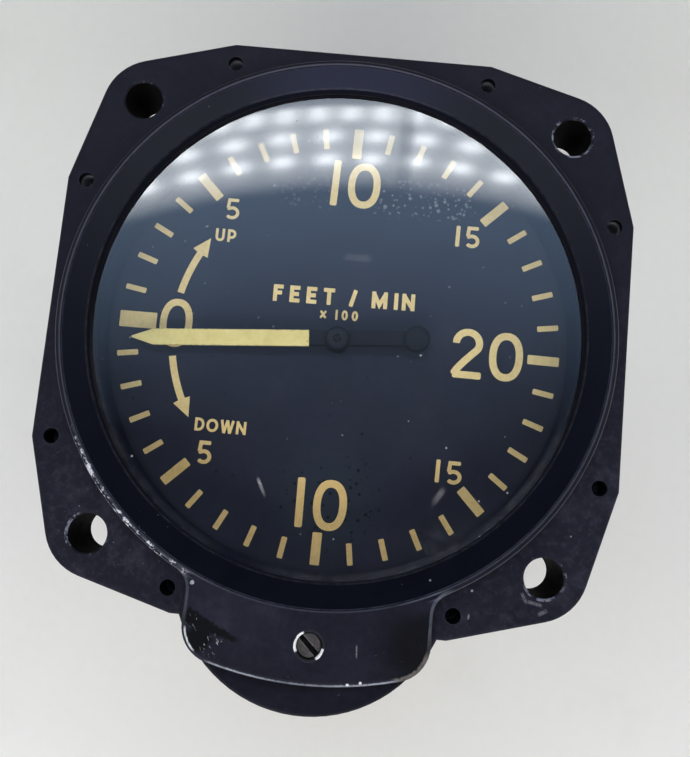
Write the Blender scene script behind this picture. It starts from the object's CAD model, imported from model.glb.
import math
import random
import bpy
import bmesh
from mathutils import Matrix, Vector


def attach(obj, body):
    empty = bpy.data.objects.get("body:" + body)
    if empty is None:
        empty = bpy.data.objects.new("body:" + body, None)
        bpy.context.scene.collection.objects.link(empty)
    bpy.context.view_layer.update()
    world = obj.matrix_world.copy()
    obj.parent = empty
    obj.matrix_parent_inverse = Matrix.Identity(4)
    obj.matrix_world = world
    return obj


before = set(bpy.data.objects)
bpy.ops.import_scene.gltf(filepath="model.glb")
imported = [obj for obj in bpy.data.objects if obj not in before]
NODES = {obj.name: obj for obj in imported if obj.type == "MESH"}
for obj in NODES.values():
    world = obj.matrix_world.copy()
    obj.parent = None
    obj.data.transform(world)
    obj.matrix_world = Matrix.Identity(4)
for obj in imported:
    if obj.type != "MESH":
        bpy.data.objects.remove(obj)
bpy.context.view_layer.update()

MM = 0.001
scene = bpy.context.scene

# ------------------------------------------------------------------ sizes, millimetres
GLASS_TOP = 0.7
DIAL_TOP = -9.0
MARK_T = 0.045             # thickness of the printed marks
HAND_REST = 4.8            # degrees
HAND_PAINT = 4.25
MOUNT = 31.435
FLOOR_Z = -103.0


# ------------------------------------------------------------------ node helper
class Shade:
    """small helper that writes one node material; lengths in it are millimetres"""

    def __init__(self, name):
        self.mat = bpy.data.materials.new(name)
        self.mat.use_nodes = True
        self.t = self.mat.node_tree
        self.t.nodes.clear()
        self.out = self.t.nodes.new("ShaderNodeOutputMaterial")
        tc = self.t.nodes.new("ShaderNodeTexCoord")
        v = self.t.nodes.new("ShaderNodeVectorMath")
        v.operation = "SCALE"
        v.inputs["Scale"].default_value = 1000.0
        self.t.links.new(tc.outputs["Object"], v.inputs[0])
        self.p = v.outputs[0]
        s = self.t.nodes.new("ShaderNodeSeparateXYZ")
        self.t.links.new(self.p, s.inputs[0])
        self.x, self.y, self.z = s.outputs

    def put(self, socket, value):
        if isinstance(value, bpy.types.NodeSocket):
            self.t.links.new(value, socket)
        elif hasattr(socket.default_value, "__len__") and not hasattr(value, "__len__"):
            socket.default_value = (value,) * len(socket.default_value)
        elif hasattr(value, "__len__") and len(value) == 3 and len(socket.default_value) == 4:
            socket.default_value = (*value, 1.0)
        else:
            socket.default_value = value

    def m(self, op, a, b=0.0, c=0.0, clamp=False):
        n = self.t.nodes.new("ShaderNodeMath")
        n.operation = op
        n.use_clamp = clamp
        for s, v in zip(n.inputs, (a, b, c)):
            self.put(s, v)
        return n.outputs[0]

    def add(self, a, b):
        return self.m("ADD", a, b)

    def sub(self, a, b):
        return self.m("SUBTRACT", a, b)

    def mul(self, *v):
        r = v[0]
        for w in v[1:]:
            r = self.m("MULTIPLY", r, w)
        return r

    def top(self, *v):
        r = v[0]
        for w in v[1:]:
            r = self.m("MAXIMUM", r, w)
        return r

    def step(self, v, a, b, c=0.0, d=1.0):
        """smooth step: c below a, d above b; a may be more than b"""
        n = self.t.nodes.new("ShaderNodeMapRange")
        n.interpolation_type = "SMOOTHSTEP"
        if a > b:
            a, b, c, d = b, a, d, c
        for k, val in (("Value", v), ("From Min", a), ("From Max", b), ("To Min", c), ("To Max", d)):
            self.put(n.inputs[k], val)
        return n.outputs[0]

    def line(self, v, a, b, c=0.0, d=1.0):
        n = self.t.nodes.new("ShaderNodeMapRange")
        n.clamp = True
        for k, val in (("Value", v), ("From Min", a), ("From Max", b), ("To Min", c), ("To Max", d)):
            self.put(n.inputs[k], val)
        return n.outputs[0]

    def vec(self, x, y, z):
        n = self.t.nodes.new("ShaderNodeCombineXYZ")
        for s, v in zip(n.inputs, (x, y, z)):
            self.put(s, v)
        return n.outputs[0]

    def vm(self, op, a, b=None, scale=None):
        n = self.t.nodes.new("ShaderNodeVectorMath")
        n.operation = op
        self.put(n.inputs[0], a)
        if b is not None:
            self.put(n.inputs[1], b)
        if scale is not None:
            self.put(n.inputs["Scale"], scale)
        return n.outputs["Value"] if op in ("DOT_PRODUCT", "LENGTH", "DISTANCE") else n.outputs["Vector"]

    def dist(self, x, y):
        """distance in the XY plane from (x, y)"""
        return self.m("POWER", self.add(self.mul(self.sub(self.x, x), self.sub(self.x, x)),
                                        self.mul(self.sub(self.y, y), self.sub(self.y, y))), 0.5)

    def fold(self, x, y):
        """distance in the XY plane from the nearest of (+-x, +-y)"""
        a = self.sub(self.m("ABSOLUTE", self.x), x)
        b = self.sub(self.m("ABSOLUTE", self.y), y)
        return self.m("POWER", self.add(self.mul(a, a), self.mul(b, b)), 0.5)

    def noise(self, scale, detail=3.0, rough=0.55, vec=None, dist=0.0, offset=None):
        n = self.t.nodes.new("ShaderNodeTexNoise")
        v = self.p if vec is None else vec
        if offset is not None:
            v = self.vm("ADD", v, offset)
        self.put(n.inputs["Vector"], v)
        n.inputs["Scale"].default_value = scale
        n.inputs["Detail"].default_value = detail
        n.inputs["Roughness"].default_value = rough
        n.inputs["Distortion"].default_value = dist
        return n.outputs["Fac"]

    def cells(self, scale, vec=None, feature="F1", out="Distance", rnd=1.0):
        n = self.t.nodes.new("ShaderNodeTexVoronoi")
        n.feature = feature
        self.put(n.inputs["Vector"], self.p if vec is None else vec)
        n.inputs["Scale"].default_value = scale
        n.inputs["Randomness"].default_value = rnd
        return n.outputs[out], n

    def specks(self, scale, size, share, vec=None):
        """small round spots: `share` of the cells hold one, of radius `size` in cell units"""
        d, n = self.cells(scale, vec)
        s = self.t.nodes.new("ShaderNodeSeparateColor")
        self.t.links.new(n.outputs["Color"], s.inputs[0])
        pick = self.step(s.outputs[0], share, share - 0.02)
        big = self.line(s.outputs[1], 0.0, 1.0, 0.45, 1.0)
        spot = self.step(self.m("DIVIDE", d, self.mul(big, size)), 1.0, 0.55)
        return self.mul(pick, spot)

    def mix(self, fac, a, b, blend="MIX"):
        n = self.t.nodes.new("ShaderNodeMix")
        n.data_type = "RGBA"
        n.blend_type = blend
        self.put(n.inputs["Factor"], fac)
        self.put(n.inputs["A"] if False else n.inputs[6], a)
        self.put(n.inputs[7], b)
        return n.outputs[2]

    def ramp(self, fac, *stops):
        n = self.t.nodes.new("ShaderNodeValToRGB")
        e = n.color_ramp.elements
        while len(e) > 1:
            e.remove(e[-1])
        e[0].position, e[0].color = stops[0][0], (*stops[0][1], 1.0)
        for pos, col in stops[1:]:
            k = e.new(pos)
            k.color = (*col, 1.0)
        self.put(n.inputs[0], fac)
        return n.outputs[0]

    def edge(self, radius, lo=0.02, hi=0.25):
        """1 on edges, 0 on open faces; radius in millimetres"""
        n = self.t.nodes.new("ShaderNodeBevel")
        n.samples = 6
        n.inputs["Radius"].default_value = radius * MM
        g = self.t.nodes.new("ShaderNodeNewGeometry")
        d = self.vm("DOT_PRODUCT", n.outputs[0], g.outputs["Normal"])
        return self.step(self.sub(1.0, d), lo, hi)

    def up(self):
        g = self.t.nodes.new("ShaderNodeNewGeometry")
        s = self.t.nodes.new("ShaderNodeSeparateXYZ")
        self.t.links.new(g.outputs["Normal"], s.inputs[0])
        return s.outputs[2]

    def bump(self, height, distance, strength=1.0, normal=None):
        n = self.t.nodes.new("ShaderNodeBump")
        n.inputs["Strength"].default_value = strength
        n.inputs["Distance"].default_value = distance * MM
        self.put(n.inputs["Height"], height)
        if normal is not None:
            self.put(n.inputs["Normal"], normal)
        return n.outputs[0]

    def bsdf(self, color, rough, metallic=0.0, normal=None, spec=0.5, coat=0.0, coat_rough=0.1):
        n = self.t.nodes.new("ShaderNodeBsdfPrincipled")
        self.put(n.inputs["Base Color"], color)
        self.put(n.inputs["Roughness"], rough)
        self.put(n.inputs["Metallic"], metallic)
        n.inputs["Specular IOR Level"].default_value = spec
        n.inputs["Coat Weight"].default_value = coat
        n.inputs["Coat Roughness"].default_value = coat_rough
        if normal is not None:
            self.put(n.inputs["Normal"], normal)
        return n.outputs[0]

    def done(self, shader):
        self.t.links.new(shader, self.out.inputs["Surface"])
        return self.mat


def clamp01(s, v):
    return s.m("ADD", v, 0.0, clamp=True)


# ------------------------------------------------------------------ finishes
def polar_mask(s, x0, y0, deg, lo, hi):
    """1 inside the sector about `deg` seen from (x0, y0); lo and hi are cosines of its half width"""
    a = math.radians(deg)
    dx, dy = s.sub(s.x, x0), s.sub(s.y, y0)
    dot = s.add(s.mul(dx, math.cos(a)), s.mul(dy, math.sin(a)))
    return s.step(s.m("DIVIDE", dot, s.m("ADD", s.dist(x0, y0), 0.001)), lo, hi)


def along_across(s, x0, y0, deg):
    """coordinates along and across the direction `deg`, from (x0, y0)"""
    a = math.radians(deg)
    dx, dy = s.sub(s.x, x0), s.sub(s.y, y0)
    return (s.add(s.mul(dx, math.cos(a)), s.mul(dy, math.sin(a))),
            s.sub(s.mul(dy, math.cos(a)), s.mul(dx, math.sin(a))))


def case_enamel():
    s = Shade("black_enamel_case")
    big = s.noise(0.16, 4, 0.6)
    mid = s.noise(0.9, 4, 0.6, offset=(7, 3, 1))
    fine = s.noise(5.5, 2, 0.5)
    r = s.dist(0, 0)
    front = s.step(s.z, -1.0, -0.4)
    raised = s.step(s.z, 1.2, 1.9)
    tone = s.add(s.mul(big, 0.55), s.mul(mid, 0.45))
    flange_c = s.ramp(tone, (0.30, (0.0030, 0.0032, 0.0082)), (0.50, (0.0056, 0.0059, 0.0130)),
                      (0.72, (0.0102, 0.0103, 0.0205)))
    raised_c = s.ramp(tone, (0.30, (0.0050, 0.0056, 0.0115)), (0.50, (0.0080, 0.0088, 0.0172)),
                      (0.72, (0.0135, 0.0145, 0.0270)))
    base = s.mix(raised, flange_c, raised_c)
    rim_top = s.mul(s.step(r, 38.40, 38.55), s.step(r, 39.05, 38.92), s.step(s.z, 1.9, 2.2), s.step(s.y, -36.0, -35.0))
    base = s.mix(s.mul(rim_top, 0.6), base, (0.0024, 0.0025, 0.0060))
    # handling haze: smudges on the lower left of the flange, a little everywhere
    dust = s.step(s.noise(0.33, 5, 0.68, offset=(3, 9, 2)), 0.46, 0.72)
    dirty = s.add(0.06, s.step(s.y, 14.0, -26.0, 0.0, 0.50))
    dirty = s.add(dirty, s.mul(s.step(s.x, 30.0, 38.0), s.step(s.y, 26.0, 6.0), 0.22))
    dirty = s.add(dirty, s.mul(s.step(s.dist(-31, -30), 16.0, 5.0), 0.16))
    ear = s.mul(s.step(s.m("ABSOLUTE", s.x), 21.0, 18.0), s.step(s.y, -44.5, -46.5), s.sub(1.0, raised))
    dust2 = s.step(s.noise(1.15, 5, 0.72, offset=(6, 1, 9)), 0.47, 0.66)
    film = s.mul(s.add(0.22, s.add(s.mul(dust, 0.50), s.mul(dust2, 0.50))), dirty, s.sub(1.0, s.mul(raised, 0.72)), s.sub(1.0, s.mul(ear, 0.9)))
    base = s.mix(film, base, (0.037, 0.035, 0.054))
    pale = s.mul(raised, s.step(s.dist(-9.5, -38.5), 9.0, 2.0), s.add(0.3, s.mul(dust, 0.5)))
    base = s.mix(s.mul(pale, 0.5), base, (0.036, 0.038, 0.060))
    behind = s.step(s.z, -5.5, -14.0)
    base = s.mix(s.mul(behind, 0.35), base, (0.026, 0.024, 0.023))
    # barrel: dull rubs and long scratches from sliding in and out of the panel
    rub = s.step(s.noise(1.0, 4, 0.65, vec=s.vec(s.mul(s.x, 0.11), s.mul(s.y, 0.11), s.mul(s.z, 0.035)), offset=(3, 1, 4)), 0.47, 0.68)
    base = s.mix(s.mul(behind, rub, 0.42), base, (0.047, 0.045, 0.050))
    slide_n = s.noise(1.0, 3, 0.6, vec=s.vec(s.mul(s.x, 1.1), s.mul(s.y, 1.1), s.mul(s.z, 0.045)), offset=(8, 6, 2))
    slide = s.mul(behind, s.step(slide_n, 0.655, 0.715), s.step(rub, 0.0, 0.6, 0.30, 1.0), 0.20)

    wear_n = s.noise(0.55, 5, 0.68, offset=(1, 5, 8))
    wear_f = s.noise(2.3, 4, 0.7, offset=(4, 2, 6))
    wn = s.add(s.mul(wear_n, 0.5), s.mul(wear_f, 0.5))
    edge = s.edge(0.15, 0.02, 0.18)

    # soft burnish: both edges of the raised rim and all outer corners, broken up
    rim_in = s.mul(s.step(r, 38.22, 38.32), s.step(r, 38.56, 38.42), s.step(s.z, 1.85, 2.15))
    rim_out = s.mul(s.step(r, 38.92, 39.02), s.step(r, 39.45, 39.36), s.step(s.z, 0.6, 1.2), s.step(s.y, -36.0, -35.0))
    burn = s.top(s.mul(rim_in, s.step(wn, 0.30, 0.52, 0.50, 1.0)), s.mul(rim_out, s.step(wn, 0.32, 0.54, 0.50, 1.0)),
                 s.mul(edge, s.step(wear_n, 0.38, 0.60, 0.15, 0.75)))
    base = s.mix(s.mul(burn, 0.66), base, (0.086, 0.090, 0.128))

    # lower left stretch of the rim: ragged chips down to bare metal on its two edges
    zone = s.top(s.step(s.dist(-26.0, -28.6), 11.0, 5.0), s.mul(s.step(s.dist(-31.6, -22.8), 7.5, 2.5), 0.9),
                 s.mul(s.step(s.dist(-20.5, -33.0), 6.0, 2.0), 0.75))
    ridge = s.mul(s.step(r, 38.2, 38.35), s.step(r, 39.32, 39.2), s.step(s.z, 0.9, 1.3))
    on_line = s.top(s.step(s.m("ABSOLUTE", s.sub(r, 38.62)), 0.26, 0.12), s.step(s.m("ABSOLUTE", s.sub(r, 39.02)), 0.20, 0.08))
    chips_n = s.add(s.mul(s.noise(0.85, 3, 0.6, offset=(12, 4, 0)), 0.55), s.mul(s.noise(2.7, 3, 0.7, offset=(2, 7, 1)), 0.45))
    cluster = s.step(s.noise(0.30, 2, 0.5, offset=(4, 4, 0)), 0.40, 0.60)
    chips = s.mul(ridge, zone, s.step(s.add(s.add(chips_n, s.mul(cluster, 0.05)), s.add(s.mul(on_line, 0.055), s.mul(zone, 0.02))), 0.618, 0.652))
    crumbs = s.mul(s.step(r, 37.9, 38.4), s.step(r, 40.1, 39.2), s.step(s.z, -0.5, 0.2), zone, s.step(cluster, 0.2, 0.8, 0.3, 1.0), s.specks(1.9, 0.24, 0.40))
    hair = s.mul(ridge, zone, s.step(s.m("ABSOLUTE", s.sub(r, 38.62)), 0.13, 0.05), s.step(wear_f, 0.40, 0.60), 0.40)

    # the lobe: bright lower lip, rubbed flat towards the right, a bruise with scratches at the left
    lobe = s.mul(s.step(s.y, -38.6, -40.0), s.step(s.z, 0.5, 1.2))
    lip_edge = s.step(s.m("ABSOLUTE", s.sub(s.add(r, s.mul(s.sub(wear_f, 0.5), 0.30)), 47.92)), 0.20, 0.07)
    lip = s.mul(lobe, lip_edge, s.step(s.m("ABSOLUTE", s.x), 13.4, 11.6), s.step(wn, 0.34, 0.58, 0.35, 1.0))
    lip = s.mul(lip, s.step(s.m("ABSOLUTE", s.add(s.x, 0.5)), 1.5, 9.0, 0.55, 1.0))
    right_r = s.dist(11.7, -41.59)
    lip_right = s.mul(lobe, s.step(s.m("ABSOLUTE", s.sub(s.add(right_r, s.mul(s.sub(wear_f, 0.5), 0.6)), 4.62)), 0.42, 0.16),
                      polar_mask(s, 11.7, -41.59, -48.0, 0.72, 0.90), s.step(wn, 0.36, 0.56, 0.25, 1.0))
    upn = s.up()
    fillet = s.mul(s.step(upn, 0.992, 0.955), s.step(upn, 0.45, 0.72), s.step(s.z, 1.2, 1.6))
    lobe_line = s.mul(fillet, s.step(s.y, -33.6, -34.6), s.step(s.m("ABSOLUTE", s.x), 11.5, 14.5), s.step(wn, 0.34, 0.54, 0.40, 1.0),
                      s.step(s.y, -42.5, -39.0, 0.25, 1.0), s.step(s.x, 0.0, 1.0, 0.55, 1.0))
    corner_r = s.dist(-11.7, -41.59)
    sliver = s.mul(lobe, s.step(s.m("ABSOLUTE", s.sub(s.add(corner_r, s.mul(s.sub(wear_f, 0.5), 0.25)), 4.42)), 0.19, 0.07), polar_mask(s, -11.7, -41.59, 207.0, 0.905, 0.965), s.step(wear_f, 0.34, 0.50, 0.45, 1.0))
    bu, bv = along_across(s, -16.2, -40.4, -21.0)
    bruise = s.mul(s.step(bu, -0.4, 0.3), s.step(bu, 8.6, 7.0),
                   s.step(s.add(s.add(s.m("ABSOLUTE", bv), s.mul(bu, 0.10)), s.mul(s.sub(wear_f, 0.5), 1.2)), 1.25, 0.85))
    bruise2 = s.step(s.add(s.dist(-14.1, -43.2), s.mul(s.sub(wear_f, 0.5), 2.2)), 2.0, 1.3)
    bruise = s.mul(s.top(bruise, bruise2), raised)
    su, sv = along_across(s, -12.6, -43.4, -62.0)
    hatch_n = s.noise(1.0, 3, 0.65, vec=s.vec(s.mul(su, 0.85), s.mul(sv, 2.7), 0.0), offset=(5, 3, 0))
    hatch = s.mul(raised, s.step(s.dist(-12.3, -44.1), 1.8, 0.9), s.step(hatch_n, 0.60, 0.65))
    hatch2 = s.mul(raised, s.step(s.dist(-14.9, -41.4), 1.5, 0.8), s.step(hatch_n, 0.63, 0.67))
    base = s.mix(s.mul(bruise, 0.88), base, (0.0016, 0.0016, 0.0024))
    low_right = s.mul(raised, s.step(s.dist(15.2, -41.5), 7.6, 2.2), s.step(s.add(s.y, s.mul(s.sub(wear_n, 0.5), 3.0)), -35.8, -38.2), 0.80)
    base = s.mix(low_right, base, (0.0022, 0.0022, 0.0032))
    grit = s.step(s.noise(4.5, 3, 0.7, offset=(9, 9, 2)), 0.44, 0.54)
    def nick(x, y, r, amount=1.0):
        return s.mul(s.step(s.add(s.dist(x, y), s.mul(s.sub(wear_f, 0.5), r)), r, 0.55 * r), amount)

    def streak(x, y, deg, half, width, amount=1.0):
        u, v = along_across(s, x, y, deg)
        return s.mul(s.step(s.m("ABSOLUTE", u), half, 0.55 * half), s.step(s.m("ABSOLUTE", v), width, 0.35 * width),
                     s.step(s.add(wear_f, s.mul(grit, 0.1)), 0.40, 0.56, 0.25, 1.0), amount)

    nicks = s.top(nick(6.1, -47.35, 0.26), nick(7.75, -46.95, 0.24), nick(-15.8, -36.2, 0.34, 0.55),
                  nick(-30.8, 24.6, 0.34, 0.9), nick(-19.6, 34.2, 0.36, 0.9), nick(21.8, -34.0, 0.20, 0.42))
    nicks = s.top(nicks, streak(6.9, -43.0, 94.0, 1.0, 0.13, 0.22), streak(21.6, -37.5, 85.0, 0.42, 0.16, 0.32),
                  streak(30.4, -34.9, -12.0, 1.2, 0.30, 0.15), streak(31.5, -36.0, 30.0, 0.8, 0.36, 0.13),
                  streak(28.9, -34.3, 120.0, 0.9, 0.30, 0.13))
    nicks = s.mul(nicks, front)

    # mounting holes: rubbed rims at the lower left, dark walls; blind holes: dark walls, dusty bottoms
    fold = s.fold(MOUNT, MOUNT)
    hole_rim = s.mul(s.step(fold, 3.14, 3.04), s.step(s.z, -0.42, -0.25))
    hole_side = s.mul(polar_mask(s, -MOUNT, -MOUNT, 165.0, 0.30, 0.75), s.step(s.dist(-MOUNT, -MOUNT), 6.0, 4.0))
    hole_side = s.top(hole_side, s.mul(polar_mask(s, MOUNT, -MOUNT, 245.0, 0.55, 0.85), s.step(s.dist(MOUNT, -MOUNT), 6.0, 4.0)),
                      s.mul(polar_mask(s, MOUNT, -MOUNT, 5.0, 0.70, 0.92), s.step(s.dist(MOUNT, -MOUNT), 6.0, 4.0), 0.7),
                      s.mul(s.step(s.dist(MOUNT, MOUNT), 6.0, 4.0), 0.75))
    hole_wear = s.mul(hole_rim, s.step(s.add(s.add(s.mul(wear_n, 0.6), s.mul(wear_f, 0.4)), s.mul(hole_side, 0.10)), 0.56, 0.66))
    bore = s.mul(s.step(fold, 2.98, 2.86), s.step(s.z, -0.22, -0.32))
    base = s.mix(s.mul(bore, 0.97), base, (0.0010, 0.0010, 0.0012))
    small = s.top(s.step(s.fold(18.6, 38.2), 1.16, 1.08), s.step(s.fold(38.2, 18.6), 1.16, 1.08),
                  s.step(s.fold(19.5, 37.6), 1.16, 1.08))
    small = s.mul(small, s.step(s.z, -0.12, -0.22), s.step(s.z, -4.30, -4.15))
    bottom = s.mul(small, s.step(s.z, -3.95, -3.985))
    base = s.mix(s.mul(small, 0.9), base, (0.0014, 0.0014, 0.0018))
    base = s.mix(s.mul(small, s.step(s.z, -0.9, -1.6), s.step(s.y, -12.0, 4.0)), base, (0.30, 0.30, 0.33))
    bottom = s.mul(bottom, s.step(s.y, -24.0, -10.0, 0.25, 1.0))
    base = s.mix(bottom, base, s.ramp(s.noise(0.8, 2, 0.5, offset=(2, 6, 0)), (0.38, (0.10, 0.10, 0.12)), (0.60, (0.80, 0.80, 0.86))))

    fly = s.mul(front, s.specks(0.55, 0.085, 0.12), 0.42)
    fly2 = s.mul(s.specks(1.7, 0.11, 0.06), 0.35)
    fly3 = s.mul(front, s.specks(0.9, 0.10, 0.35), s.step(s.dist(-28, -31), 13.0, 5.0), 0.45)
    scr_u, scr_v = along_across(s, 0.0, 0.0, 28.0)
    scr_n = s.noise(0.5, 3, 0.7, vec=s.vec(s.mul(scr_u, 0.3), s.mul(scr_v, 2.8), 0.0), offset=(2, 2, 2))
    scratch = s.mul(s.step(scr_n, 0.715, 0.745), 0.22, front)

    bright = s.top(s.mul(chips, 0.95), s.mul(crumbs, 0.55), s.mul(nicks, 0.9), s.mul(sliver, 0.85), s.mul(hatch, 0.50), s.mul(hatch2, 0.34))
    soft = s.top(s.mul(lip, 0.85), s.mul(hole_wear, 0.55), s.mul(lobe_line, 0.19), hair, fly, fly2, fly3, scratch, slide)
    metal = s.ramp(s.noise(3.5, 3, 0.6, offset=(0, 8, 3)), (0.3, (0.50, 0.52, 0.57)), (0.7, (0.86, 0.88, 0.93)))
    color = s.mix(clamp01(s, soft), base, (0.36, 0.39, 0.48))
    color = s.mix(s.mul(lip_right, 0.75), color, (0.165, 0.148, 0.138))
    color = s.mix(clamp01(s, bright), color, metal)
    bare = clamp01(s, s.top(bright, s.mul(soft, 0.7), s.mul(lip_right, 0.3)))

    rough = s.add(0.38, s.add(s.mul(mid, 0.16), s.mul(film, 0.3)))
    rough = s.add(rough, s.mul(s.top(bore, small, bruise), 0.3))
    rough = s.m("ADD", rough, s.mul(bare, -0.04), clamp=True)
    h = s.add(s.add(s.mul(fine, 0.35), s.mul(s.noise(11, 2, 0.5), 0.2)), s.mul(bare, -0.8))
    normal = s.bump(h, 0.018, 0.75)
    return s.done(s.bsdf(color, rough, s.mul(bare, 0.25), normal, spec=0.10))


def ring_enamel():
    s = Shade("satin_black_ring")
    big = s.noise(0.22, 4, 0.6)
    fine = s.noise(6.0, 3, 0.55)
    ang = s.m("ARCTAN2", s.y, s.x)
    r = s.dist(0, 0)
    turned = s.noise(1.0, 3, 0.6, vec=s.vec(s.mul(r, 9.0), s.mul(ang, 1.2), 0.0))
    base = s.ramp(s.add(s.mul(big, 0.6), s.mul(turned, 0.4)), (0.32, (0.0010, 0.0016, 0.0050)),
                  (0.68, (0.0024, 0.0032, 0.0085)))
    base = s.mix(s.mul(s.step(s.dist(-1.0, 37.5), 21.0, 4.0), 0.78), base, (0.0140, 0.0150, 0.0370))
    wall = s.step(s.m("ABSOLUTE", s.up()), 0.6, 0.3)
    base = s.mix(s.mul(wall, 0.8), base, (0.0030, 0.0042, 0.0110))
    wn = s.noise(0.9, 4, 0.7)
    line = s.mul(s.step(r, 38.02, 38.14), s.step(wn, 0.34, 0.58, 0.35, 1.0))
    base = s.mix(s.mul(line, 0.50), base, (0.070, 0.078, 0.115))
    inner = s.mul(s.step(r, 34.98, 34.88), s.step(s.z, 1.9, 2.1), s.step(wn, 0.40, 0.62, 0.1, 0.8))
    base = s.mix(s.mul(inner, 0.25), base, (0.06, 0.065, 0.085))
    flecks = s.mul(s.specks(0.75, 0.075, 0.09), 0.5)
    lowleft = s.step(s.dist(-27, -24), 14.0, 4.0)
    flecks = s.top(flecks, s.mul(s.specks(1.3, 0.12, 0.20), lowleft, 0.5))
    flecks = s.top(flecks, s.mul(s.step(s.dist(15.8, -32.9), 0.20, 0.06), 0.5))
    bare = clamp01(s, s.mul(flecks, s.sub(1.0, wall)))
    color = s.mix(bare, base, (0.42, 0.44, 0.5))
    rough = s.add(s.add(0.29, s.mul(turned, 0.09)), s.mul(wall, 0.55))
    normal = s.bump(s.add(s.mul(fine, 0.5), s.mul(turned, 0.5)), 0.007, 0.5)
    return s.done(s.bsdf(color, rough, s.mul(bare, 0.4), normal, spec=0.10))


def glass():
    s = Shade("cover_glass_clear")
    geo = s.t.nodes.new("ShaderNodeNewGeometry")
    fres = s.t.nodes.new("ShaderNodeFresnel")
    fres.inputs["IOR"].default_value = 1.76
    face = s.sub(1.0, geo.outputs["Backfacing"])
    fac = s.m("MULTIPLY", fres.outputs[0], face, clamp=True)
    clear = s.t.nodes.new("ShaderNodeBsdfTransparent")
    clear.inputs[0].default_value = (0.985, 0.988, 0.985, 1.0)
    gloss = s.t.nodes.new("ShaderNodeBsdfGlossy")
    gloss.inputs["Color"].default_value = (1, 1, 1, 1)
    ripple = s.noise(0.12, 2, 0.5)
    gloss_rough = s.step(s.noise(0.25, 4, 0.65, offset=(5, 5, 5)), 0.45, 0.8, 0.010, 0.035)
    s.put(gloss.inputs["Roughness"], gloss_rough)
    s.put(gloss.inputs["Normal"], s.bump(ripple, 0.02, 0.25))
    mixa = s.t.nodes.new("ShaderNodeMixShader")
    s.put(mixa.inputs[0], fac)
    s.t.links.new(clear.outputs[0], mixa.inputs[1])
    s.t.links.new(gloss.outputs[0], mixa.inputs[2])
    # dust, a smear and a faint scratch on the outer face
    outer = s.mul(s.step(s.z, 0.6, 0.69), face)
    film = s.mul(s.step(s.noise(0.10, 5, 0.7, offset=(1, 2, 3)), 0.45, 0.75), 0.006)
    dots = s.mul(s.specks(0.45, 0.11, 0.15), 0.40)
    dots2 = s.mul(s.specks(1.3, 0.16, 0.05), 0.30)
    for gx_, gy_ in ((21.7, -21.9), (25.5, -20.4), (28.5, -20.4), (16.7, -15.1), (12.1, -2.6)):
        dots = s.top(dots, s.mul(s.step(s.dist(gx_, gy_), 0.22, 0.08), 0.45))
    cloud = s.noise(0.8, 3, 0.6)
    u, v = along_across(s, 16.1, -21.9, 60.0)
    smear = s.mul(s.step(s.m("ABSOLUTE", u), 1.75, 0.6), s.step(s.m("ABSOLUTE", v), 0.62, 0.10), s.step(cloud, 0.25, 0.55, 0.5, 1.0),
                  s.step(u, -1.4, 0.9, 0.35, 1.0), 0.17)
    u, v = along_across(s, -8.1, -22.9, -62.0)
    smear = s.top(smear, s.mul(s.step(s.m("ABSOLUTE", u), 1.7, 0.7), s.step(s.m("ABSOLUTE", v), 0.34, 0.06), s.step(u, 1.3, -1.0, 0.30, 1.0), 0.36))
    smear = s.top(smear, s.mul(s.step(s.m("ABSOLUTE", s.sub(s.x, 2.1)), 2.4, 1.2), s.step(s.m("ABSOLUTE", s.sub(s.y, 10.5)), 0.8, 0.2), 0.05))
    patch = s.mul(s.step(s.dist(17.6, -28.8), 5.0, 1.0), s.step(s.noise(0.9, 5, 0.75, offset=(8, 1, 0)), 0.42, 0.62), 0.03)
    gr = s.dist(0, 0)
    arc = s.top(s.mul(polar_mask(s, 0, 0, -58.0, 0.62, 0.98), 1.0), s.mul(polar_mask(s, 0, 0, -142.0, 0.80, 0.97), 0.45))
    rimdust = s.mul(s.step(gr, 33.3, 34.3), s.step(s.noise(0.7, 4, 0.7), 0.34, 0.62, 0.25, 1.0), s.add(0.005, s.mul(arc, 0.085)))
    haze = s.m("MULTIPLY", s.add(s.add(film, s.top(dots, dots2)), s.top(smear, patch, rimdust)), outer, clamp=True)
    dustc = s.t.nodes.new("ShaderNodeBsdfDiffuse")
    dustc.inputs[0].default_value = (0.64, 0.64, 0.66, 1)
    mixb = s.t.nodes.new("ShaderNodeMixShader")
    s.put(mixb.inputs[0], haze)
    s.t.links.new(mixa.outputs[0], mixb.inputs[1])
    s.t.links.new(dustc.outputs[0], mixb.inputs[2])
    return s.done(mixb.outputs[0])


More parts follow.
